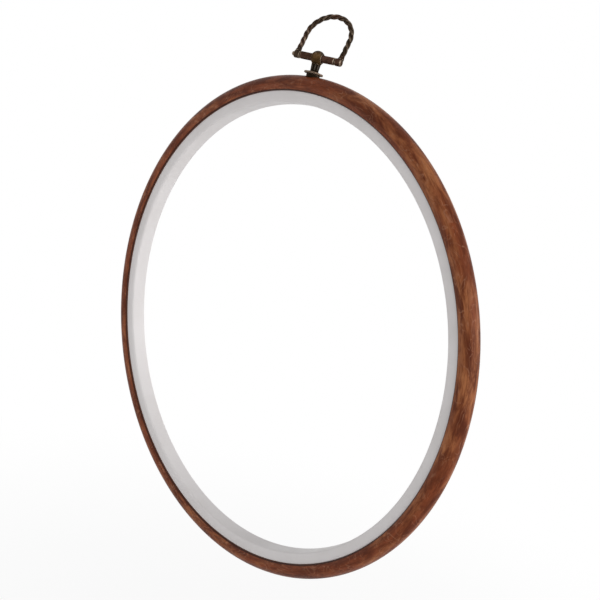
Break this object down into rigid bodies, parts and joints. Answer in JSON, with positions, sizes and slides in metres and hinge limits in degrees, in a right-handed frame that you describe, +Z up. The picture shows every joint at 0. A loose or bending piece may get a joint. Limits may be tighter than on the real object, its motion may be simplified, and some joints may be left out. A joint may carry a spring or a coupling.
{
  "type": "embroidery hoop",
  "caption": "Round embroidery hoop: rigid inner ring in a flexible wood-look outer ring, with a swivelling post and a rope-twist hanging ring on top.",
  "frame": {"origin": "inside top of the hanging ring's arch at rest, where a hook or nail bears", "axes": "+Z up, from the hoops' centre towards the hanger; the hoops' common axis runs along Y, with the front of the hoop at -Y; X across the hoop"},
  "size_m": [0.2066, 0.016, 0.232],
  "materials": {
    "wood_vinyl": "semi-gloss vinyl with a printed reddish-brown wood grain",
    "pale_plastic": "satin moulded plastic, pale grey-white",
    "aged_brass": "antique brass, darkened in the hollows and rubbed bright on the high places",
    "dark_brass": "dark antique brass"
  },
  "bodies": {
    "outer_hoop": {"outer_hoop": "wood_vinyl", "rim_washer": "dark_brass", "backing_washer": "dark_brass"},
    "inner_hoop": {"inner_hoop": "pale_plastic"},
    "hanger_post": {"hanger_post": "aged_brass"},
    "hanging_ring": {"hanging_ring": "aged_brass", "cross_bar": "aged_brass"}
  },
  "joints": [
    {"name": "inner_release", "type": "slide", "parent": "outer_hoop", "child": "inner_hoop", "axis": [0, 1, 0], "range_m": [0, 0.03]},
    {"name": "post_swivel", "type": "hinge", "parent": "outer_hoop", "child": "hanger_post", "pos_m": [0.00172, -0.00934, -0.0234], "axis": [0, 0.1392, 0.9903], "continuous": true},
    {"name": "ring_swing", "type": "hinge", "parent": "hanger_post", "child": "hanging_ring", "pos_m": [0.00172, -0.00832, -0.01613], "axis": [0.9613, 0.273, -0.0384], "range_deg": [-91, 131]}
  ]
}
